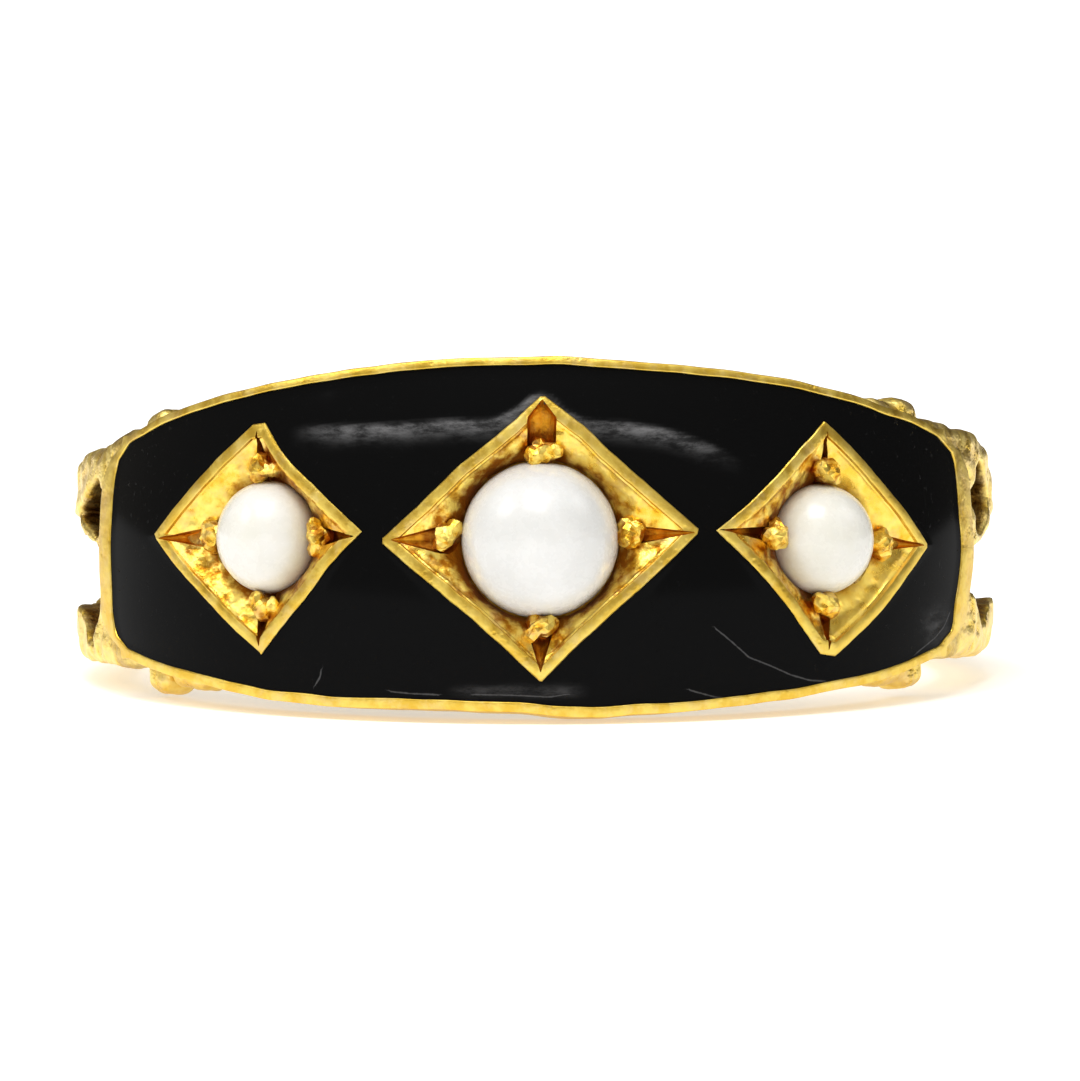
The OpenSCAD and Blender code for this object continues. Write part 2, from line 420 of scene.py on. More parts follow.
def addWorld():
    world = bpy.data.worlds.new("studio")
    bpy.context.scene.world = world
    world.use_nodes = True
    tree = world.node_tree
    way = tree.nodes.new("ShaderNodeTexCoord").outputs["Generated"]
    upwards = tree.nodes.new("ShaderNodeSeparateXYZ")
    feed(tree, upwards, {0: way})
    low, high = studio["low"], studio["high"]
    light = rampNode(tree, upwards.outputs["Z"], *studio["band"], low, high)
    aside = tree.nodes.new("ShaderNodeVectorMath")
    aside.operation = "DOT_PRODUCT"
    feed(tree, aside, {0: way, 1: studio["dimSide"]})
    fade = rampNode(tree, aside.outputs["Value"], *studio["dimFade"], 1, studio["dimmed"], "LINEAR")
    seen = tree.nodes.new("ShaderNodeLightPath").outputs["Is Camera Ray"]
    strength = tree.nodes.new("ShaderNodeMix")
    feed(tree, strength, {"Factor": seen, "A": times(tree, light, fade), "B": studio["seen"]})
    whiter = mathNode(tree, "MULTIPLY_ADD", light, 1 / (high - low), -low / (high - low), clamp=True)
    colour = mixColours(tree, mathNode(tree, "MAXIMUM", whiter, seen), studio["lowColour"], white)
    feed(tree, tree.nodes["Background"], {"Color": colour, "Strength": strength.outputs["Result"]})


lamps = {
    "frontTop": {"at": (-0.05, -0.2, 0.46), "size": 0.24, "watts": 1.1},
    "leftTop": {"at": (-0.38, -0.12, 0.36), "size": 0.2, "watts": 0.45},
    "rightTop": {"at": (0.4, 0.0, 0.38), "size": 0.2, "watts": 0.2},
}


def addLamps():
    for name, lamp in lamps.items():
        data = bpy.data.lights.new(name, "AREA")
        data.size = lamp["size"]
        data.energy = lamp["watts"]
        addPointing(name, data, lamp["at"], -Vector(lamp["at"]))


addCamera()
addFloor()
addWorld()
addLamps()
bpy.context.scene.view_settings.view_transform = "Standard"
print("studio ready")


# materials

def makeHandWork():
    # file marks, small dents and pits of worked gold
    tree, given, result = newGroup(
        "handWork",
        [("Vector", "Vector", None), ("Dent Scale", "Float", 1800.0), ("Grain Scale", "Float", 14000.0),
         ("Pits", "Float", 0.5)],
        [("Height", "Float"), ("Tone", "Float")])
    dents = noiseNode(tree, given["Vector"], given["Dent Scale"], 3, 0.5)
    grain = times(tree, noiseNode(tree, given["Vector"], given["Grain Scale"], 5, 0.65), 0.2)
    pitPlace = tree.nodes.new("ShaderNodeTexVoronoi")
    feed(tree, pitPlace, {"Vector": given["Vector"], "Scale": times(tree, given["Grain Scale"], 0.32)})
    pits = times(tree, rampNode(tree, pitPlace.outputs["Distance"], 0.0, 0.26, 1.0, 0.0), given["Pits"])
    height = mathNode(tree, "SUBTRACT", mathNode(tree, "ADD", dents, grain), times(tree, pits, 0.3))
    feed(tree, result, {"Height": height, "Tone": mathNode(tree, "ADD", times(tree, dents, 0.8), grain)})
    return tree


def makePatinaAndShade():
    # brown film in recesses and dents, broken up along its edge, and a little pale bloom; where the recess
    # value carries painted shade, so does the film
    tree, given, result = newGroup(
        "patinaAndShade",
        [("Vector", "Vector", None), ("Metal", "Color", (0.8, 0.5, 0.1, 1)),
         ("Film", "Color", (0.3, 0.1, 0.02, 1)), ("Bloom", "Color", (0.5, 0.3, 0.18, 1)),
         ("Recess", "Float", 0.0), ("Height", "Float", 0.5), ("Cavity", "Float", 1.0),
         ("Bloom Amount", "Float", 0.3), ("Patch Scale", "Float", 3500.0)],
        [("Color", "Color"), ("Mask", "Float")])
    patches = noiseNode(tree, given["Vector"], given["Patch Scale"], 6, 0.68)
    ragged = times(tree, mathNode(tree, "SUBTRACT", patches, 0.5), 1.5)
    dents = times(tree, mathNode(tree, "SUBTRACT", 0.5, given["Height"]), given["Cavity"])
    mask = mathNode(tree, "ADD", mathNode(tree, "ADD", given["Recess"], ragged), dents)
    mask = rampNode(tree, mask, 0.2, 0.95)
    bloom = noiseNode(tree, given["Vector"], times(tree, given["Patch Scale"], 0.55), 5, 0.7)
    bloom = times(tree, rampNode(tree, bloom, 0.48, 0.66), given["Bloom Amount"])
    dusted = mixColours(tree, bloom, given["Metal"], given["Bloom"])
    feed(tree, result, {"Color": mixColours(tree, mask, dusted, given["Film"]),
                        "Mask": mathNode(tree, "MAXIMUM", mask, bloom)})
    return tree


handWork = makeHandWork()
patinaAndShade = makePatinaAndShade()


goldLooks = {
    # deep and light are the metal's two tones, film is the brown in its recesses: patina, and painted shade
    # in the settings' depths and the shoulders' openings
    "rimGold": {"deep": (0.72, 0.46, 0.055, 1), "light": (0.88, 0.66, 0.14, 1),
                "film": (0.55, 0.27, 0.03, 1), "cavity": 1.2, "patchScale": 3200,
                "bloom": (0.84, 0.68, 0.34, 1), "bloomAmount": 0.35,
                "rough": (0.28, 0.44), "dentScale": 2400, "grainScale": 13000, "pits": 0.6,
                "bump": 0.8, "bumpDepth": 0.00004},
    "cutGold": {"deep": (0.82, 0.47, 0.03, 1), "light": (0.99, 0.77, 0.18, 1),
                "film": (0.38, 0.13, 0.008, 1), "cavity": 2.8, "patchScale": 4200,
                "bloom": (0.68, 0.44, 0.22, 1), "bloomAmount": 0.5,
                "rough": (0.2, 0.38), "dentScale": 3400, "grainScale": 11000, "pits": 0.35,
                "bump": 1.0, "bumpDepth": 0.000045},
    "graverCut": {"deep": (0.6, 0.25, 0.012, 1), "light": (0.8, 0.4, 0.03, 1),
                  "film": (0.28, 0.08, 0.006, 1), "cavity": 2.0, "patchScale": 5200,
                  "bloom": (0.55, 0.33, 0.12, 1), "bloomAmount": 0.3,
                  "rough": (0.3, 0.45), "dentScale": 3800, "grainScale": 13000, "pits": 0.6,
                  "bump": 0.8, "bumpDepth": 0.00004},
    # shoulderGold's near-black film is patina, and painted shade in the openings
    "shoulderGold": {"deep": (0.84, 0.56, 0.07, 1), "light": (0.98, 0.78, 0.25, 1),
                     "film": (0.1, 0.03, 0.004, 1), "cavity": 1.8, "patchScale": 3000,
                     "bloom": (0.82, 0.62, 0.34, 1), "bloomAmount": 0.5,
                     "rough": (0.24, 0.42), "dentScale": 3000, "grainScale": 9000, "pits": 0.8,
                     "bump": 1.0, "bumpDepth": 0.00008},
}
goldFinish = {
    "worn": 0.85,              # share of the hand work that a full polish takes away
    "toneRange": (0.35, 0.65),
    "roughRange": (0.3, 0.7),
    "filmRough": 0.14,
}


def makeGold(name, look):
    material, tree, shader = newMaterial(name)
    place = placeNode(tree)
    polish = times(tree, valueNode(tree, "polish"), goldFinish["worn"])   # by fingers and cloths
    dull = mathNode(tree, "SUBTRACT", 1.0, polish)
    work = groupNode(tree, handWork, {"Vector": place, "Dent Scale": look["dentScale"],
                                      "Grain Scale": look["grainScale"], "Pits": look["pits"]})
    tone = times(tree, mathNode(tree, "SUBTRACT", work["Tone"], 0.5), dull)
    tone = mathNode(tree, "ADD", 0.5, tone)
    metal = mixColours(tree, rampNode(tree, tone, *goldFinish["toneRange"]), look["deep"], look["light"])
    film = groupNode(tree, patinaAndShade, {
        "Vector": place, "Metal": metal, "Film": look["film"], "Bloom": look["bloom"],
        "Recess": valueNode(tree, "recess"), "Height": tone, "Cavity": look["cavity"],
        "Bloom Amount": times(tree, dull, look["bloomAmount"]), "Patch Scale": look["patchScale"]})
    rough = rampNode(tree, tone, *goldFinish["roughRange"], *look["rough"])
    rough = mathNode(tree, "ADD", rough, times(tree, film["Mask"], goldFinish["filmRough"]), clamp=True)
    normal = bumpNode(tree, work["Height"], times(tree, dull, look["bump"]), look["bumpDepth"])
    feed(tree, shader, {"Base Color": film["Color"], "Metallic": 1.0, "Roughness": rough, "Normal": normal})
    return material


enamelLook = {
    # the pale colour paints a highlight along the crown's streak and reflections along two lines, over real
    # wear and scratches
    "colour": (0.0036, 0.0037, 0.0039, 1), "wearAndSheenColour": (0.16, 0.16, 0.165, 1),
    "rough": 0.1, "wornRough": 0.38, "markRough": 0.3, "specular": 0.03,
    "scratchAndGlintWidth": (0.022, 0.046), "scratchAndGlintStrength": 0.4,   # mm from its middle, fading
    "raggedScale": 9000, "ragged": 0.04,
    "pitScale": 7000, "pitRange": (0.63, 0.72), "pitsWhereWorn": 0.16,
    "waveScale": 260, "waves": 3.0, "bump": 0.5, "bumpDepth": 0.00001,
    "smearScale": 3600, "smearStretch": (0.35, 0.35, 1), "smearRange": (0.36, 0.66, 0.12, 1.0),
}


def makeEnamel():
    look = enamelLook
    material, tree, shader = newMaterial("blackEnamel")
    place = placeNode(tree)
    # worn is the pale band along the crown: real wear with a painted highlight
    worn = valueNode(tree, "worn")
    # how far it is across to the nearest pale line, in mm, and how much of that line is left; most lines are
    # scratches, two are painted reflections of the light along the face's curve
    across, left = valueNode(tree, "scratchAndGlintAcross"), valueNode(tree, "scratchAndGlintLeft")
    ragged = times(tree, noiseNode(tree, place, look["raggedScale"], 5, 0.7), look["ragged"])
    ragged = mathNode(tree, "ADD", mathNode(tree, "ABSOLUTE", across), ragged)
    scratchesAndGlints = rampNode(tree, ragged, *look["scratchAndGlintWidth"], look["scratchAndGlintStrength"], 0.0)
    scratchesAndGlints = times(tree, scratchesAndGlints, left)
    pits = noiseNode(tree, place, look["pitScale"], 6, 0.7)
    pits = mathNode(tree, "ADD", pits, times(tree, worn, look["pitsWhereWorn"]))
    pits = rampNode(tree, pits, *look["pitRange"])
    waves = times(tree, noiseNode(tree, place, look["waveScale"], 2, 0.4), look["waves"])
    normal = bumpNode(tree, mathNode(tree, "SUBTRACT", waves, pits), look["bump"], look["bumpDepth"])
    stretch = tree.nodes.new("ShaderNodeMapping")
    feed(tree, stretch, {"Vector": place, "Scale": look["smearStretch"]})
    smear = noiseNode(tree, stretch.outputs[0], look["smearScale"], 7, 0.72)
    wearAndSheen = times(tree, worn, rampNode(tree, smear, *look["smearRange"]))
    rough = mathNode(tree, "ADD", look["rough"], times(tree, wearAndSheen, look["wornRough"]))
    marks = times(tree, mathNode(tree, "MAXIMUM", pits, scratchesAndGlints), look["markRough"])
    # pale grey base colour: painted highlight and reflections, with real wear and scratches
    pale = mathNode(tree, "MAXIMUM", wearAndSheen, scratchesAndGlints)
    feed(tree, shader, {"Base Color": mixColours(tree, pale, look["colour"], look["wearAndSheenColour"]),
                        "Roughness": mathNode(tree, "ADD", rough, marks, clamp=True),
                        "Specular IOR Level": look["specular"], "Normal": normal})
    return material


pearlLooks = {
    # rim is a greyer colour towards the pearl's outline: painted shade
    "whitePearl": {"milk": (0.8, 0.805, 0.8, 1), "cream": (0.73, 0.735, 0.725, 1),
                   "rim": (0.62, 0.62, 0.61, 1)},
    "creamPearl": {"milk": (0.83, 0.825, 0.79, 1), "cream": (0.78, 0.77, 0.7, 1),
                   "rim": (0.64, 0.62, 0.55, 1)},
}
nacre = {
    "cloudScale": 700, "cloudRange": (0.35, 0.65),
    "growScale": 5200, "growRough": (0.3, 0.7, 0.2, 0.34),
    "edgeShadeBlend": 0.35, "edgeShadeAmount": 0.5,
    "glow": 0.25, "glowRadius": (1.0, 0.9, 0.8), "glowScale": 0.0003,
    "coat": 0.35, "coatRough": 0.12, "bump": 0.25, "bumpDepth": 0.00001,
}


def makePearl(name, look):
    material, tree, shader = newMaterial(name)
    place = placeNode(tree)
    cloud = rampNode(tree, noiseNode(tree, place, nacre["cloudScale"], 3, 0.5), *nacre["cloudRange"])
    grow = noiseNode(tree, place, nacre["growScale"], 5, 0.6)
    # greyer towards the outline as the camera sees it: painted shade
    edge = tree.nodes.new("ShaderNodeLayerWeight")
    feed(tree, edge, {"Blend": nacre["edgeShadeBlend"]})
    rim = times(tree, edge.outputs["Facing"], nacre["edgeShadeAmount"])
    body = mixColours(tree, cloud, look["milk"], look["cream"])
    feed(tree, shader, {
        "Base Color": mixColours(tree, rim, body, look["rim"]),
        "Roughness": rampNode(tree, grow, *nacre["growRough"]),
        "Subsurface Weight": nacre["glow"], "Subsurface Radius": nacre["glowRadius"],
        "Subsurface Scale": nacre["glowScale"], "Coat Weight": nacre["coat"],
        "Coat Roughness": nacre["coatRough"],
        "Normal": bumpNode(tree, grow, nacre["bump"], nacre["bumpDepth"])})
    return material


golds = {name: makeGold(name, look) for name, look in goldLooks.items()}
enamelBlack = makeEnamel()
pearls = {name: makePearl(name, look) for name, look in pearlLooks.items()}
print("materials ready")


# face

faceEdge = {
    # (along, edge of the enamel) from the left end to the right, above and below the middle
    "top": [(-11.7, 1.93), (-11.1, 2.13), (-9.7, 2.56), (-8.12, 2.89), (-6.75, 3.13), (-5.49, 3.31),
            (-4.3, 3.46), (-2.07, 3.64), (-0.45, 3.68), (0.63, 3.67), (1.7, 3.61), (3.64, 3.48),
            (5.4, 3.32), (7.37, 3.02), (8.87, 2.72), (9.7, 2.56), (10.7, 2.31), (11.6, 2.06)],
    "bottom": [(-11.7, 1.93), (-11.1, 2.13), (-9.7, 2.52), (-8.12, 2.86), (-6.75, 3.13), (-5.49, 3.3),
               (-4.3, 3.39), (-2.07, 3.47), (-0.45, 3.54), (0.63, 3.62), (1.7, 3.6), (3.64, 3.47),
               (5.4, 3.26), (7.37, 2.96), (8.87, 2.66), (9.7, 2.43), (10.7, 2.12), (11.6, 1.84)],
    # (across from -1 to 1, end of the enamel)
    "left": [(-1, 10.93), (-0.94, 11.3), (-0.69, 11.46), (-0.43, 11.43), (-0.18, 11.43), (0.08, 11.43),
             (0.33, 11.4), (0.71, 11.37), (0.83, 11.32), (0.94, 11.2), (1, 10.83)],
    "right": [(-1, 10.55), (-0.97, 10.95), (-0.87, 11.11), (-0.74, 11.12), (-0.61, 11.13), (-0.48, 11.2),
              (-0.2, 11.31), (0.07, 11.35), (0.31, 11.28), (0.79, 11.25), (0.89, 11.17), (0.97, 10.95),
              (1, 10.55)],
}


def enamelEdge(x, z):
    return curveThrough(faceEdge["top" if z > 0 else "bottom"], x)


def enamelEnd(x, v):
    return curveThrough(faceEdge["left" if x < 0 else "right"], v)


def facePoint(u, v):
    # u and v run from -1 to 1 over the enamel
    x = u * enamelEnd(u, v)
    return x, v * enamelEdge(x, v)


settings = {
    # corners of the lozenges in the order N, E, S, W, how far each side bulges on its way (N-E, E-S, S-W,
    # W-N), how blunt the tips are, how dull and how polished each slope is (NE, SE, SW, NW), and the
    # corner cuts: start from the tip, half width, share over which they widen. Dull adds or takes away
    # brown film on a slope: patina, and painted light and shade for how the light falls on that slope
    "centre": {"corners": [(0.05, 2.99), (3.45, 0.1), (0.0, -3.09), (-3.41, -0.06)],
               "bulge": [[0.05, 0.1, 0.05, 0.04, 0.05], [0.0, 0.02, 0.0, -0.01, 0.02],
                         [0.01, 0.0, 0.0, 0.04, 0.06], [0.04, 0.04, 0.08, 0.03, 0.03]],
               "blunt": [0.06, 0.12, 0.05, 0.06],
               "dull": [-0.15, 0.15, 0.2, 0.3], "polished": [0.3, 0, 0, 0],
               "cuts": [(0.06, 0.27, 0.31), (0.12, 0.18, 0.8), (0.2, 0.22, 0.7), (0.2, 0.3, 0.8)],
               "pearl": "whitePearl", "pearlAt": (0.0, -0.05), "pearlRadius": 1.7,
               "pearlShape": (0.985, 0.985), "sink": 0.65, "depth": 0.6,
               "beads": [(0.08, 1.8), (2.03, 0.06), (0.04, -1.92), (-2.08, 0.04)], "beadRadius": 0.33},
    "left": {"corners": [(-6.56, 2.55), (-3.92, 0.03), (-6.5, -2.46), (-9.5, 0.13)],
             "bulge": [[0.1, -0.01, 0.02, 0.06, 0.1], [-0.06, -0.07, 0.01, 0.0, 0.0],
                       [-0.04, 0.0, 0.0, 0.02, 0.0], [0.1, 0.1, 0.1, 0.08, 0.04]],
             "blunt": [0.3, 0.08, 0.05, 0.06],
             "dull": [0.25, 0.15, 0.15, -0.1], "polished": [0, 0, 0, 0.3],
             "cuts": [(0.2, 0.1, 0.5), (0.15, 0.2, 0.8), (0.2, 0.18, 0.7), (0.14, 0.2, 0.8)],
             "pearl": "creamPearl", "pearlAt": (-6.51, 0.09), "pearlRadius": 1.16,
             "pearlShape": (0.96, 1.04), "sink": 0.5, "depth": 0.55,
             "beads": [(-6.45, 1.53), (-5.06, 0.06), (-6.47, -1.42), (-7.9, 0.16)], "beadRadius": 0.31},
    "right": {"corners": [(6.72, 2.55), (9.77, -0.04), (6.76, -2.56), (3.78, 0.17)],
              "bulge": [[0.0, 0.04, 0.04, 0.06, 0.03], [0.04, 0.07, 0.14, 0.13, 0.08],
                        [0.05, 0.0, -0.06, -0.06, -0.02], [-0.06, -0.09, -0.06, -0.01, 0.01]],
              "blunt": [0.05, 0.05, 0.44, 0.1],
              "dull": [-0.35, -0.3, 0.15, 0.15], "polished": [0.65, 0.65, 0, 0],
              "cuts": [(0.22, 0.1, 0.6), (0.14, 0.17, 0.8), (0.2, 0.15, 0.7), (0.14, 0.14, 0.8)],
              "pearl": "creamPearl", "pearlAt": (6.84, 0.03), "pearlRadius": 1.16,
              "pearlShape": (1.0, 1.025), "sink": 0.5, "depth": 0.55,
              "beads": [(6.79, 1.44), (8.38, -0.05), (6.76, -1.4), (5.38, 0.05)], "beadRadius": 0.31},
}


def sideBulge(setting, side, share):
    return curveThrough(list(zip((0, 0.25, 0.5, 0.75, 1), setting["bulge"][side])), share)


def lozengeSides(setting):
    corners = [Vector(c) for c in setting["corners"]]
    return list(enumerate(zip(corners, corners[1:] + corners[:1])))


def lozengeOutline(setting, edgePoints=56):
    points = []
    blunt = setting["blunt"]
    for i, (start, stop) in lozengeSides(setting):
        way = (stop - start).normalized()
        start, stop = start + way * blunt[i] / 2, stop - way * blunt[(i + 1) % 4] / 2
        for k in range(edgePoints):
            f = k / (edgePoints - 1)
            points.append(start.lerp(stop, f) + turned(way) * sideBulge(setting, i, f))
    return points


def lozengeGap(setting, x, z):
    # distance outside the lozenge's edge, negative inside
    gaps = []
    for i, (start, stop) in lozengeSides(setting):
        way = stop - start
        long = way.length
        way = way / long
        here = Vector((x, z)) - start
        share = min(max(here.dot(way) / long, 0), 1)
        gaps.append(here.dot(turned(way)) - sideBulge(setting, i, share))
    return max(gaps)


enamel = {
    "along": 280, "across": 96, "thickness": 0.7,
    "half": (11, 3.2),                    # about half its length and width
    "creep": 0.014, "creepWidth": 0.1,    # it creeps up at the gold's edge
    "wave": 0.012, "waveAlong": 0.35, "waveAcross": 0.5,
    "fallFrom": 2.3, "fall": 0.025,       # it is rounded off towards its long edges
    "hidden": 0.1,                        # how far it reaches under a setting
    # a dull streak with a sharp upper edge runs along the crown and over the middle lozenge: rougher, worn
    # enamel whose pale colour is a painted highlight where the crown catches the light
    "streak": [(-6, 2.36), (-4.35, 2.35), (-2.92, 2.38), (-2.11, 2.44), (-1.1, 2.45), (-0.57, 2.66),
               (-0.15, 2.96), (0.23, 2.94), (0.7, 2.56), (1.06, 2.43), (1.87, 2.37), (2.68, 2.25),
               (3.49, 2.02), (4.6, 1.6)],
    "streakBelow": 0.22, "streakAbove": 0.06, "streakMiddle": -0.6, "streakHalf": (5.2, 3.4),
    # and fainter at the middle lozenge's foot and in the lower right corner
    "footAt": -3.3, "footHalf": 0.1, "footFrom": (-2.2, -1.4), "footTo": (1.2, 0.4),
    "cornerAt": (10.4, -1.75), "cornerHalf": (0.5, 0.35), "faint": 0.3,
    # pale lines: the first two, low between the middle and right lozenges, are painted reflections of the
    # light along the face's curve, the rest are scratches
    "scratchesAndGlints": [[(3.9, -1.95), (4.25, -2.19), (4.75, -2.55), (5.28, -2.71), (5.85, -2.9), (6.39, -3.01),
                   (6.9, -3.02)],
                  [(3.38, -3.26), (4.0, -3.4), (4.61, -3.46)],
                  [(-1.5, -3.36), (-0.6, -3.38), (0.2, -3.42), (0.6, -3.36)],
                  [(10.95, -1.45), (10.75, -1.75), (10.4, -2.0), (9.9, -2.25), (9.6, -2.4)],
                  [(-5.2, -3.12), (-5.05, -2.95), (-5.0, -2.8)],
                  [(-3.4, -3.28), (-2.9, -3.33), (-2.3, -3.36)]],
}


# the pale band: worn, rougher enamel with a painted highlight along the crown
def enamelSheenAndWear(p):
    off = p.z - curveThrough(enamel["streak"], p.x)
    streak = bell(off, enamel["streakBelow" if off < 0 else "streakAbove"])
    streak *= smoothStep(*enamel["streakHalf"], abs(p.x - enamel["streakMiddle"]))
    foot = bell(p.z - enamel["footAt"], enamel["footHalf"])
    foot *= smoothStep(*enamel["footFrom"], p.x) * smoothStep(*enamel["footTo"], p.x)
    (x, z), (halfX, halfZ) = enamel["cornerAt"], enamel["cornerHalf"]
    corner = bell(p.x - x, halfX) * bell(p.z - z, halfZ)
    return min(1.0, streak + enamel["faint"] * (foot + corner))


# the nearest pale line, scratches and painted reflections alike
def nearestScratchAndGlint(p):
    # the distance across to it, and how much of it is left
    here = Vector((p.x, p.z))
    near, across, past = 1.0, 1.0, 0.0
    for line in enamel["scratchesAndGlints"]:
        for number, (a, b) in enumerate(zip(line, line[1:])):
            a, way = Vector(a), Vector(b) - Vector(a)
            share = (here - a).dot(way) / way.length_squared
            gap = (here - a - way * min(max(share, 0), 1)).length
            if gap < near:
                side = (here - a).dot(turned(way)) / way.length
                before = -share if number == 0 else 0
                after = share - 1 if number == len(line) - 2 else 0
                near, across, past = gap, math.copysign(gap, side), max(before, after) * way.length
    return across, smoothStep(0.2, 0.12, near) * smoothStep(0.12, 0.0, past)


def buildEnamel():
    obj = newGrid("enamel", enamel["along"], enamel["across"])

    def shape(p):
        x, z = facePoint(p.x, p.y)
        ends = [(1 - abs(share)) * half for share, half in zip(p, enamel["half"])]
        gap = abs(min([lozengeGap(s, x, z) for s in settings.values()] + ends))
        rise = enamel["creep"] * bell(gap, enamel["creepWidth"])
        wave = noise.noise(Vector((x * enamel["waveAlong"], 0, z * enamel["waveAcross"])))
        fall = enamel["fall"] * max(0, abs(z) - enamel["fallFrom"]) ** 1.5
        return Vector((x, -(dome(z) + rise + enamel["wave"] * wave - fall), z))

    def underSetting(face):
        x, _, z = face.center
        return any(lozengeGap(s, x, z) < -enamel["hidden"] for s in settings.values())

    moveEach(obj, shape)
    editFaces(obj, underSetting)
    bpy.ops.mesh.delete(type="FACE")
    facesOut(obj)
    turnOut(obj, obj.data.polygons[0])
    modify(obj, "SOLIDIFY", thickness=enamel["thickness"], offset=-1)
    scratchesAndGlints = [nearestScratchAndGlint(v.co) for v in obj.data.vertices]
    # the pale band, a painted highlight with real wear
    tint(obj, "worn", enamelSheenAndWear)
    keepValues(obj, "scratchAndGlintAcross", [across for across, left in scratchesAndGlints])
    keepValues(obj, "scratchAndGlintLeft", [left for across, left in scratchesAndGlints])
    bendRound(obj)
    complete(obj, enamelBlack, ["enamel_panel"], 60)


tray = {
    "along": 152, "across": 26,
    "bevel": 0.035,
    "uneven": 0.03, "unevenEnds": 0.03,
    "sideRim": 0.18, "lowerRim": 0.04,    # the lower one is a little wider
    "endRim": {"left": 0.58, "right": 0.67},
    "endCorner": 0.45, "endCornerFrom": 0.72,   # the end's rim narrows towards its corners
    "rimProud": 0.05,
    "recess": 0.8,                        # how deep the enamel lies in it
    "film": 0.9,                          # brown in the groove, none on the rim's top
}


def buildTray():
    obj = newGrid("faceTray", tray["along"], tray["across"])
    stepU, stepV = 2 / tray["along"], 2 / tray["across"]
    proud = tray["rimProud"]

    def shape(p):
        # the grid's outer row of faces is the rim
        u = min(max(p.x / (1 - stepU), -1), 1)
        v = min(max(p.y / (1 - stepV), -1), 1)
        x, z = facePoint(u, v)
        if abs(p.x) > 1 - stepU / 2:
            rim = tray["endRim"]["left" if u < 0 else "right"]
            rim *= 1 - tray["endCorner"] * smoothStep(tray["endCornerFrom"], 1, abs(v))
            x += math.copysign(rim + tray["unevenEnds"] * noise.noise(Vector((u, 7, z * 1.6))), p.x)
        if abs(p.y) > 1 - stepV / 2:
            z += math.copysign(tray["sideRim"] + (tray["lowerRim"] if v < 0 else 0), p.y)
        wobble = tray["uneven"] * noise.noise(Vector((x * 1.1, 5, z * 1.1)))
        return Vector((x, -(dome(z) + proud), z + wobble))

    def insideRim(face):
        x, y, z = face.center
        if abs(-y - dome(z) - proud) > 0.05:
            return False
        v = z / enamelEdge(x, z)
        return abs(v) <= 1 and abs(x) < enamelEnd(x, v)

    moveEach(obj, shape)
    facesOut(obj)
    turnOut(obj, obj.data.polygons[0])
    editAll(obj)
    bpy.ops.mesh.extrude_region_move()
    objectMode()
    for vertex in obj.data.vertices:
        if not vertex.select:
            vertex.co.y = -fingerSide   # the sheet that is left behind becomes the finger's side
    facesOut(obj)
    editFaces(obj, insideRim)
    bpy.ops.mesh.extrude_region_move(TRANSFORM_OT_translate={"value": (0, tray["recess"], 0)})
    facesOut(obj)
    modify(obj, "BEVEL", width=tray["bevel"], segments=3, limit_method="ANGLE",
           angle_limit=math.radians(40))
    wall = -fingerSide - 0.15
    tint(obj, "recess", lambda p: 0.0 if p.y > wall
         else -0.1 + tray["film"] * smoothStep(-0.05, -0.6, -p.y - dome(p.z)))
    tint(obj, "polish", lambda p: 1.0 if p.y > wall else 0.0)
    bendRound(obj)
    complete(obj, golds["rimGold"], ["gold_ring"], 40)


lozenge = {
    "proud": 0.07,       # height of the rim's top over the enamel
    "foot": -0.95,
    # (inset, height against the rim's top) from the rim's outside to the lip of the slopes
    "rim": [(0, -0.03), (0.02, -0.004), (0.05, 0), (0.21, 0.004), (0.234, -0.008), (0.252, -0.07),
            (0.285, -0.085)],
    "turns": 20,         # rings of faces from the lip down to the pearl
    "room": 0.02,        # round the pearl
    "seat": 0.86,
    "fall": [(0.38, 0.55), (0.62, 2.4)],   # (share, power): steep at the lip and again at the pearl
    "uneven": 0.014, "chisel": 0.05,
    "hollows": 2.6, "facets": [(1, 2.9), (0.4, 7)], "chatter": 0.25,   # how close together, (height, close)
    # brown film: everywhere, at the bottom, round the pearl and round the prongs; the last three are patina
    # with painted shade for the setting's depth
    "film": 0.12, "filmAndShadeDeep": 0.35, "filmAndShadeAtPearl": 0.45, "filmAndShadeAtProngs": 0.5,
}

graver = {
    "steps": 14,
    "short": 0.04,       # how far it reaches under the pearl
    "start": -0.03,      # height against the rim's top
    "floor": [(0.12, -0.17), (0.3, -0.35), (0.6, -0.5)],   # (share of the way, height)
    "end": -0.05,        # height against the setting's depth
    "blade": [(0.35, 0.12), (0.7, 0.26), (1, 0.5), (1.15, 1.0)],   # (across, up) in half widths
    "shaft": [(1.3, 0.75), (0.4, 1.0)],   # (across in half widths, up in mm)
}


def cutCorner(obj, setting, number):
    # one pointed stroke of the graver from a corner down to the pearl
    centre, corner = Vector(setting["pearlAt"]), Vector(setting["corners"][number])
    inset, half, widen = setting["cuts"][number]
    way = (corner - centre).normalized()
    high = corner - way * inset
    low = centre + way * (setting["pearlRadius"] - graver["short"])
    start, end = lozenge["proud"] + graver["start"], -setting["depth"] + graver["end"]
    depths = [(0, start), *graver["floor"], (1, end)]
    rings = []
    for k in range(graver["steps"] + 1):
        f = k / graver["steps"]
        spot = high.lerp(low, f)
        wide = half * min(1, 0.04 + f / widen)
        floor = curveThrough(depths, f) + dome(spot.y)
        sides = [(across, up * wide) for across, up in graver["blade"]] + graver["shaft"]
        section = [(0, 0)] + sides + [(-across, up) for across, up in reversed(sides)]
        flats = [(spot + turned(way) * across * wide, up) for across, up in section]
        rings.append([Vector((flat.x, -(floor + up), flat.y)) for flat, up in flats])
    cutter = loft("graver", rings)
    cutter.data.materials.append(golds["graverCut"])
    carve(obj, cutter, material_mode="TRANSFER")


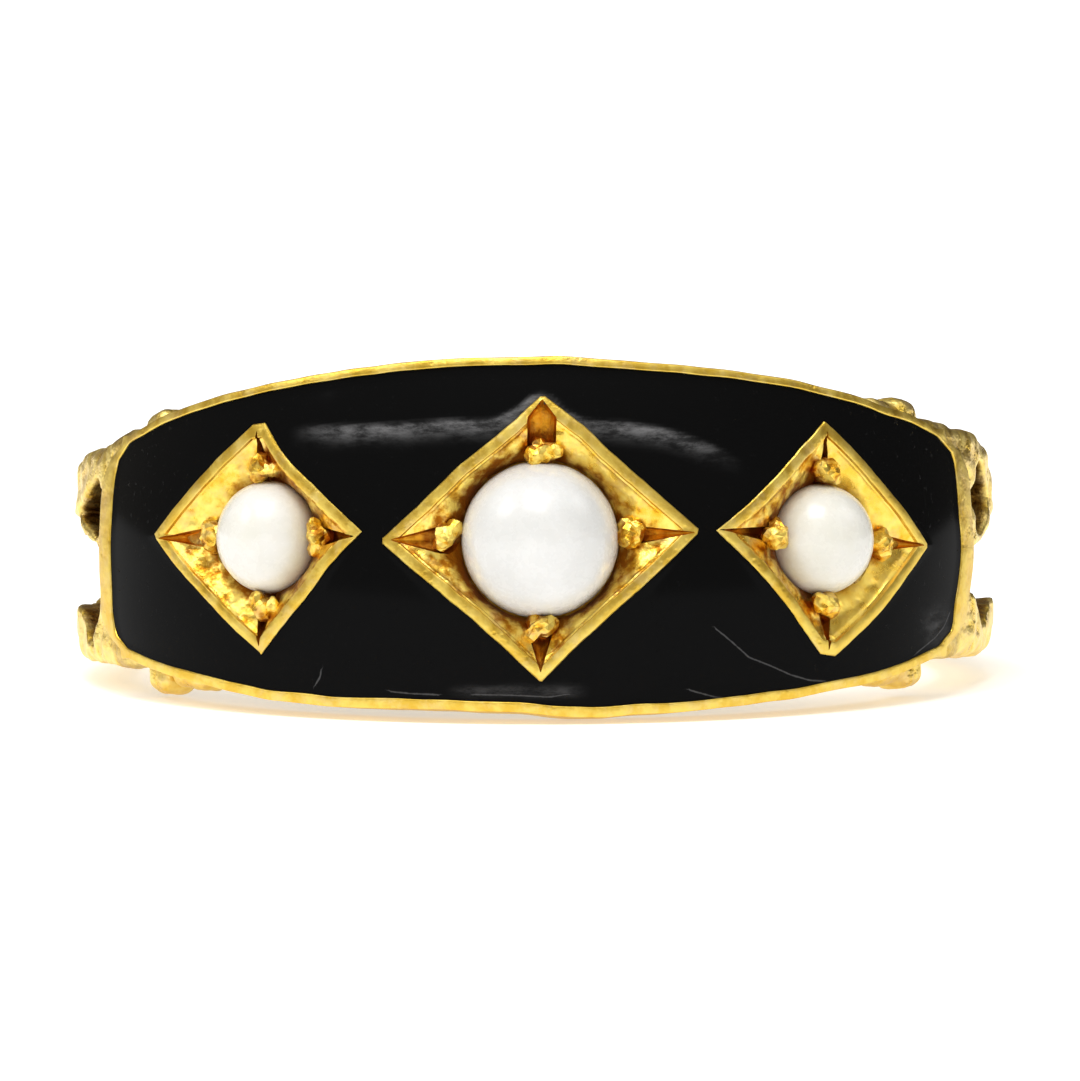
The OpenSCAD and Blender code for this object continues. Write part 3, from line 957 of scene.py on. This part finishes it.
def hammering(x, z, i, t):
    # soft hollows, facets that the hammer left, and chatter along the slope
    facets = sum(height * noise.voronoi(Vector((x * close, 2, z * close)))[0][0]
                 for height, close in lozenge["facets"])
    hollows = noise.noise(Vector((x * lozenge["hollows"], 1, z * lozenge["hollows"])))
    return hollows + facets - 0.7 + lozenge["chatter"] * noise.noise(Vector((i * 0.17, t * 1.5, 4)))


def buildSetting(name, setting):
    centre = Vector(setting["pearlAt"])
    depth, proud = setting["depth"], lozenge["proud"]
    outline = []
    for point in lozengeOutline(setting):
        nudge = noise.noise(Vector((point.x * 2.3, 3, point.y * 2.3)))
        nudge += 0.5 * noise.noise(Vector((point.x * 7, 8, point.y * 7)))
        outline.append(point + (point - centre).normalized() * lozenge["uneven"] * nudge)
    north, east, south, west = [Vector(c) for c in setting["corners"]]
    middle = sum([north, east, south, west], Vector((0, 0))) / 4
    half, tall = (east - west).x / 2, (north - south).y / 2
    inner = half * tall / math.hypot(half, tall)   # from the middle to an edge

    def ringAt(inset, height, follow=1.0):
        k = 1 - inset / inner
        points = [middle + (p - middle) * k for p in outline]
        return [Vector((p.x, -(dome(p.y) * follow + height), p.y)) for p in points]

    def slopeValue(what, here):
        # the slope's own value, which fades out towards the corners
        way = here - middle
        side = (0 if way.y > 0 else 1) if way.x > 0 else (3 if way.y > 0 else 2)
        return setting[what][side] * smoothStep(0.0, 0.35, min(abs(way.x), abs(way.y)))

    seat = setting["pearlRadius"] + lozenge["room"]
    shrink = faceRadius / (faceRadius - depth)   # the bend narrows what lies deeper
    circle = []
    for i in range(len(outline)):
        angle = math.pi / 2 - (i + 0.5) / len(outline) * 2 * math.pi
        circle.append(Vector((centre.x + seat * shrink * math.cos(angle), centre.y + seat * math.sin(angle))))
    rings = [ringAt(0, lozenge["foot"], 0)] + [ringAt(inset, proud + up) for inset, up in lozenge["rim"]]
    lip = rings[-1]
    for step in range(1, lozenge["turns"] + 1):
        t = step / lozenge["turns"]
        fall = depth * sum(share * t ** power for share, power in lozenge["fall"])
        ring = []
        for i, (a, c) in enumerate(zip(lip, circle)):
            x, z = a.x + (c.x - a.x) * t, a.z + (c.y - a.z) * t
            calm = 1 - 0.8 * slopeValue("polished", Vector((x, z)))
            rough = hammering(x, z, i, t) * (lozenge["chisel"] * min(1, 5 * t * (1 - t)) * calm)
            ring.append(Vector((x, a.y * (1 - t) + fall + rough, z)))
        rings.append(ring)
    rings.append([Vector((c.x, lozenge["seat"], c.y)) for c in circle])
    obj = loft(name + "Setting", rings)
    for material in ("cutGold", "graverCut", "rimGold"):
        obj.data.materials.append(golds[material])

    def onRim(p):
        return -p.y - dome(p.z) > proud - 0.05

    for face in obj.data.polygons:
        if onRim(face.center):
            face.material_index = 2
    for number in range(4):
        cutCorner(obj, setting, number)

    # film in the depths, round the pearl and round the prongs: patina with painted shade, plus each slope's
    # dull value
    def recess(p):
        if onRim(p):
            return -0.1
        here = Vector((p.x, p.z))
        deep = smoothStep(-0.06, depth, p.y + dome(p.z))
        nearPearl = smoothStep(0.4, 0.0, (here - centre).length - seat)
        nearBead = max(smoothStep(0.65, 0.3, (here - Vector(b)).length) for b in setting["beads"])
        film = lozenge["filmAndShadeDeep"] * deep + lozenge["filmAndShadeAtPearl"] * nearPearl * deep
        film += lozenge["filmAndShadeAtProngs"] * nearBead * deep
        return min(1.0, lozenge["film"] + slopeValue("dull", here) + film)

    tint(obj, "recess", recess)
    tint(obj, "polish", lambda p: slopeValue("polished", Vector((p.x, p.z))))
    bendRound(obj)
    complete(obj, golds["cutGold"], ["gold_ring"], 32)


prong = {
    # each prong is a nugget of lobes pushed up against the pearl: (out, across, up, size) in radii
    "lobes": [(0.0, 0.0, 0.0, 0.8), (-0.5, 0.5, 0.15, 0.62), (0.35, -0.6, 0.0, 0.6), (0.6, 0.5, -0.25, 0.55)],
    "squash": 0.65,      # of the lobes' spread towards the pearl
    "turn": 1.7,         # radians from one prong to the next
    "stem": (0.85, 0.6, 0.5),   # its lower and upper radius in the prong's radii, its length
    "voxel": 0.03,
    "lumpSize": 0.3, "lump": 0.2,
    "facets": 0.05,      # share of the faces that are left, which makes it look cut
    "film": 0.22, "filmBelow": 0.75,
}


def buildBeads(name, setting):
    lumps = []
    centre = Vector(setting["pearlAt"])
    size = setting["beadRadius"]
    base = -setting["sink"] + size
    for number, bead in enumerate(setting["beads"]):
        bead = Vector(bead)
        way = (bead - centre).normalized()
        turn = number * prong["turn"] + len(name)
        for k, (out, across, up, scale) in enumerate(prong["lobes"]):
            spread = out * math.cos(turn) - across * math.sin(turn)
            cross = out * math.sin(turn) + across * math.cos(turn)
            spot = bead + way * spread * size * prong["squash"] + turned(way) * cross * size
            deselectAll()
            bpy.ops.mesh.primitive_ico_sphere_add(subdivisions=3, radius=size * scale,
                                                  location=(spot.x, -(base + up * size), spot.y))
            lump = newest("lump")
            lump.scale = (1, 1.15, 0.9 + 0.2 * ((k + number) % 2))
            applyAll(lump)
            lumps.append(lump)
        lower, upper, long = prong["stem"]
        deselectAll()
        bpy.ops.mesh.primitive_cone_add(vertices=16, radius1=size * lower, radius2=size * upper, depth=long,
                                        location=(bead.x, -(base - long / 2), bead.y),
                                        rotation=(math.radians(90), 0, 0))
        stem = newest("stem")
        applyAll(stem)
        lumps.append(stem)
    obj = joinAll(lumps, name + "Beads")
    weld(obj, prong["voxel"])
    clouds(obj, prong["lumpSize"], prong["lump"])
    modify(obj, "DECIMATE", ratio=prong["facets"])
    top = -setting["sink"] + size * 1.5
    tint(obj, "recess", lambda p: prong["film"] + prong["filmBelow"] * smoothStep(top, top - 0.35, -p.y))
    bendRound(obj)
    complete(obj, golds["cutGold"], ["gold_ring"], 18)


halfPearl = {
    "segments": 96, "rings": 64,
    "back": 0.3,         # where it is cut flat, past its middle
    "backEdge": 0.06,
    "lump": 0.9, "uneven": 0.03,   # in radii
}


def buildPearl(name, setting):
    radius = setting["pearlRadius"]
    deselectAll()
    bpy.ops.mesh.primitive_uv_sphere_add(segments=halfPearl["segments"], ring_count=halfPearl["rings"],
                                         radius=radius)
    obj = newest(name + "Pearl")
    obj.rotation_euler = (math.radians(90), 0, 0)   # the pole faces away from the finger
    applyAll(obj)
    clouds(obj, radius * halfPearl["lump"], halfPearl["uneven"] * radius)
    editAll(obj)
    bpy.ops.mesh.bisect(plane_co=(0, halfPearl["back"], 0), plane_no=(0, 1, 0), clear_outer=True,
                        use_fill=True)
    modify(obj, "BEVEL", width=halfPearl["backEdge"], segments=3, limit_method="ANGLE",
           angle_limit=math.radians(50))
    obj.scale = (setting["pearlShape"][0], 1, setting["pearlShape"][1])
    applyAll(obj)
    x, z = setting["pearlAt"]
    angle, reach = x / faceRadius, faceRadius - setting["sink"]
    obj.rotation_euler = (0, 0, angle)
    obj.location = (reach * math.sin(angle), -reach * math.cos(angle), z)
    applyAll(obj)
    complete(obj, pearls[setting["pearl"]], [name + "_pearl"], 50)


buildEnamel()
buildTray()
for name, setting in settings.items():
    buildSetting(name, setting)
    buildBeads(name, setting)
    buildPearl(name, setting)
print("face ready")


# shank and shoulders

hoop = {
    "faceEnd": 65.76,      # degrees from the front
    "sweep": 58,           # degrees over which a shoulder narrows to the shank
    "shank": (2.7, 1.15),  # width and thickness
    "shoulder": (5.0, 1.45),
    # (share of the sweep, width and thickness from shank to shoulder, squareness)
    "rows": [(-0.38, 0.95, 0.5, 0.32), (-0.2, 0.98, 0.5, 0.32), (0, 1.04, 0.7, 0.32),
             (0.08, 1.02, 0.95, 0.3), (0.12, 1.0, 1.0, 0.3), (0.28, 0.95, 1.0, 0.3),
             (0.42, 0.8, 0.92, 0.42), (0.56, 0.54, 0.75, 0.56), (0.72, 0.27, 0.48, 0.72),
             (0.87, 0.08, 0.2, 0.84), (1, 0, 0, 0.9), (1.2, 0, 0, 0.9), (2.2, 0, 0, 0.9)],
    # (share of the sweep, upper and lower half width against the even ones)
    "leftTrim": [(-0.38, 0.7, 0.7), (-0.2, 0.98, 1.02), (-0.02, 1.02, 1.01), (0.05, 0.95, 1.0),
                 (0.13, 0.89, 0.99), (0.22, 0.9, 0.96), (0.42, 0.89, 0.95), (0.7, 1, 1), (2.2, 1, 1)],
    "rightTrim": [(-0.38, 0.7, 0.7), (-0.2, 1.08, 1.0), (-0.05, 1.08, 0.97), (0.05, 1.03, 0.93),
                  (0.12, 1.04, 0.93), (0.22, 1.0, 0.92), (0.42, 0.9, 0.88), (0.7, 1, 1), (2.2, 1, 1)],
    "openFrom": 68.58,     # degrees from the front, where the openings begin
    # (share of the sweep, lower and upper edge in half widths)
    "leftOpenings": [
        [(0.005, -0.3, 0.04), (0.03, -0.42, 0.05), (0.06, -0.52, 0.05), (0.085, -0.66, 0.06),
         (0.101, -0.82, 0.08), (0.13, -0.78, 0.1), (0.16, -0.69, 0.14), (0.2, -0.58, 0.19),
         (0.24, -0.48, 0.27), (0.31, -0.44, 0.345), (0.41, -0.43, 0.35), (0.51, -0.41, 0.28),
         (0.6, -0.36, 0.15), (0.66, -0.24, 0.03), (0.69, -0.12, -0.06)],
        [(0.012, 0.39, 0.42), (0.04, 0.2, 0.52), (0.076, 0.12, 0.62), (0.11, 0.16, 0.55),
         (0.157, 0.22, 0.47), (0.2, 0.28, 0.42), (0.25, 0.35, 0.37)]],
    "rightOpenings": [
        [(0.005, -0.33, 0.02), (0.05, -0.38, 0.03), (0.09, -0.45, 0.04), (0.12, -0.56, 0.07),
         (0.14, -0.65, 0.09), (0.17, -0.6, 0.13), (0.2, -0.53, 0.19), (0.256, -0.42, 0.31),
         (0.31, -0.39, 0.385), (0.41, -0.39, 0.385), (0.51, -0.38, 0.3), (0.6, -0.36, 0.15),
         (0.66, -0.24, 0.03), (0.69, -0.12, -0.06)],
        [(0.036, 0.43, 0.48), (0.06, 0.32, 0.55), (0.08, 0.22, 0.63), (0.1, 0.14, 0.71),
         (0.117, 0.14, 0.77), (0.15, 0.19, 0.7), (0.18, 0.27, 0.62), (0.205, 0.38, 0.55),
         (0.22, 0.46, 0.49)]],
    "steps": 130, "openingSteps": 32, "crownSteps": 15,
    "inside": (-0.88, -0.45, 0, 0.45, 0.88),   # points on the finger's side in half widths
    "cutFrom": -0.8, "cutTo": 2.2,             # heights over the finger's side
    "underTray": 0.08,     # how far it stays off the finger's side there
    "voxel": 0.075,
    "dents": [(0.035, 0.9), (0.06, 2.4)],   # (height, how close together) of the shoulders' hammering
    # brown film: everywhere, in the openings, next to them on the finger's side and behind the face; in and
    # next to the openings it is patina with painted shade
    "film": 0.1, "filmAndShadeWall": 0.65, "filmAndShadeUnder": 0.2, "filmSeam": 0.4,
}


def hoopHalf(share):
    shank, shoulder = hoop["shank"][0], hoop["shoulder"][0]
    return (shank + (shoulder - shank) * curveThrough(hoop["rows"], share)) / 2


def hoopTrim(share, right, upper):
    return curveThrough(hoop["rightTrim" if right else "leftTrim"], share, 1 if upper else 2)


def hoopRing(fromFront):
    # one cross-section of the band, crowned outside and flat on the finger's side
    share = (min(fromFront, 360 - fromFront) - hoop["faceEnd"]) / hoop["sweep"]
    half = hoopHalf(share)
    upper, lower = (hoopTrim(share, fromFront < 180, above) for above in (True, False))
    thick, square = (curveThrough(hoop["rows"], share, column) for column in (2, 3))
    thick = hoop["shank"][1] + (hoop["shoulder"][1] - hoop["shank"][1]) * thick
    section = []
    for k in range(hoop["crownSteps"] + 1):
        angle = math.radians(180 * k / hoop["crownSteps"])
        s, w = math.sin(angle), math.cos(angle)
        section.append((math.copysign(abs(w) ** square, w) * half, thick * 0.5 + thick * 0.5 * s ** square))
    inside = hoop["underTray"] * smoothStep(0.02, -0.05, share)
    section += [(half * across, inside) for across in hoop["inside"]]
    x = math.radians(fromFront - 180) * faceRadius
    return [Vector((x, -(fingerSide + h), z * (upper if z > 0 else lower))) for z, h in section]


def pierce(obj, rows, side):
    steps = hoop["openingSteps"]
    stations = [rows[0][0] + (rows[-1][0] - rows[0][0]) * k / steps for k in range(steps + 1)]
    way = [(s, 1) for s in stations] + [(s, 2) for s in reversed(stations)]
    edge = []
    for s, column in way:
        degrees = hoop["openFrom"] + s * hoop["sweep"]
        edge.append((-side * math.radians(180 - degrees) * faceRadius,
                     curveThrough(rows, s, column) * hoop["shoulder"][0] / 2))
    carve(obj, loft("piercing", [[Vector((x, -(fingerSide + height), z)) for x, z in edge]
                                 for height in (hoop["cutFrom"], hoop["cutTo"])]))


def buildHoop():
    start = hoop["faceEnd"] + hoop["rows"][0][0] * hoop["sweep"]
    steps = hoop["steps"]
    obj = loft("shank", [hoopRing(start + (360 - 2 * start) * k / steps) for k in range(steps + 1)])
    for side, openings in ((1, "rightOpenings"), (-1, "leftOpenings")):
        for rows in hoop[openings]:
            pierce(obj, rows, side)
    weld(obj, hoop["voxel"])
    modify(obj, "SMOOTH", factor=0.5, iterations=4)

    def share(p):
        return (180 - abs(math.degrees(p.x / faceRadius)) - hoop["openFrom"]) / hoop["sweep"]

    def outwards(p):
        # how far out from the middle of the band, against its half width there
        at = share(p) + (hoop["openFrom"] - hoop["faceEnd"]) / hoop["sweep"]
        return abs(p.z) / hoopHalf(at) / hoopTrim(at, p.x < 0, p.z > 0)

    # the shoulders are hammered by hand, the shank and the finger's side are smooth
    slants = [vertex.normal.copy() for vertex in obj.data.vertices]
    for vertex, slant in zip(obj.data.vertices, slants):
        p = vertex.co.copy()
        rough = sum(height * noise.noise(p * close) for height, close in hoop["dents"])
        vertex.co = p + slant * rough * smoothStep(1.0, 0.6, share(p)) * smoothStep(0.9, 0.3, slant.y)

    def recess(p, normal):
        # the walls of the openings and the finger's side next to them are the darkest: patina with painted
        # shade, where little light gets in
        near = smoothStep(0.95, 0.45, share(p)) * smoothStep(0.94, 0.86, outwards(p))
        wall = smoothStep(0.85, 0.5, abs(normal.y)) * near
        under = smoothStep(0.3, 0.7, normal.y) * near
        seam = smoothStep(0.03, -0.02, share(p))   # where the arms are soldered behind the face
        return min(1.0, hoop["film"] + hoop["filmAndShadeWall"] * wall + hoop["filmAndShadeUnder"] * under
                   + hoop["filmSeam"] * seam)

    def polish(p, normal):
        return max(smoothStep(0.6, 1.0, share(p)), 0.7 * smoothStep(0.6, 0.9, normal.y))

    tintBySlant(obj, "polish", polish)
    tintBySlant(obj, "recess", recess)
    bendRound(obj)
    obj.rotation_euler = (0, 0, math.pi)   # its middle is the back of the shank, so it is turned round
    applyAll(obj)
    complete(obj, golds["shoulderGold"], ["gold_ring"], 60)


leafTips = {
    # (side, edge): how far the lobes reach, and from and to, in degrees from the front
    "rows": {(-1, 1): (2.95, 43, 63.6), (-1, -1): (3.15, 38, 63.4), (1, 1): (3.16, 43, 60.3),
             (1, -1): (3.06, 45, 61.3)},
    # (share of the way, size, share of the reach)
    "lobes": [(0.0, 0.5, 0.86), (0.28, 0.62, 0.94), (0.62, 0.66, 0.98), (0.9, 0.5, 1.0)],
    "high": 0.46, "wide": 0.5,
    "tilt": 0.16,
    "round": 0.3,
    "slab": (0.7, 1.1), "slabAt": (0.4, 2.1),   # thickness and width, height and place across
    "voxel": 0.05,
    "lumpSize": 0.4, "lump": 0.07,
    "room": 0.03,        # kept from the finger's side
}


def addBlock(name, size, place, scale, turn=0):
    deselectAll()
    bpy.ops.mesh.primitive_cube_add(size=size, location=place)
    block = newest(name)
    block.scale = scale
    block.rotation_euler = (0, turn, 0)
    applyAll(block)
    return block


def buildLeaves():
    # scalloped leaf tips that peep out behind both edges of the face
    high, wide = leafTips["high"], leafTips["wide"]
    parts = []
    for (side, edge), (reach, start, stop) in leafTips["rows"].items():
        turn = math.radians(stop - start) * faceRadius
        near = math.radians(start) * faceRadius
        for share, size, far in leafTips["lobes"]:
            place = (side * (near + share * turn), -(fingerSide + high), edge * (reach * far - wide))
            lump = addBlock("lump", 2, place, (size, high, wide), edge * side * leafTips["tilt"])
            modify(lump, "BEVEL", width=leafTips["round"], segments=5)
            parts.append(lump)
        slabUp, slabAcross = leafTips["slabAt"]
        place = (side * (near + turn / 2), -(fingerSide + slabUp), edge * slabAcross)
        parts.append(addBlock("slab", 1, place, (turn, *leafTips["slab"])))
    obj = joinAll(parts, "leafTips")
    weld(obj, leafTips["voxel"])
    modify(obj, "SMOOTH", factor=0.5, iterations=3)
    clouds(obj, leafTips["lumpSize"], leafTips["lump"])
    moveEach(obj, lambda p: Vector((p.x, min(p.y, -fingerSide - leafTips["room"]), p.z)))
    tintBySlant(obj, "recess", lambda p, normal: 0.1 + 0.5 * smoothStep(0.95, 0.5, abs(normal.y))
                * smoothStep(2.9, 2.5, abs(p.z)))
    bendRound(obj)
    complete(obj, golds["shoulderGold"], ["gold_ring"], 60)


buildHoop()
buildLeaves()
print("shank ready")
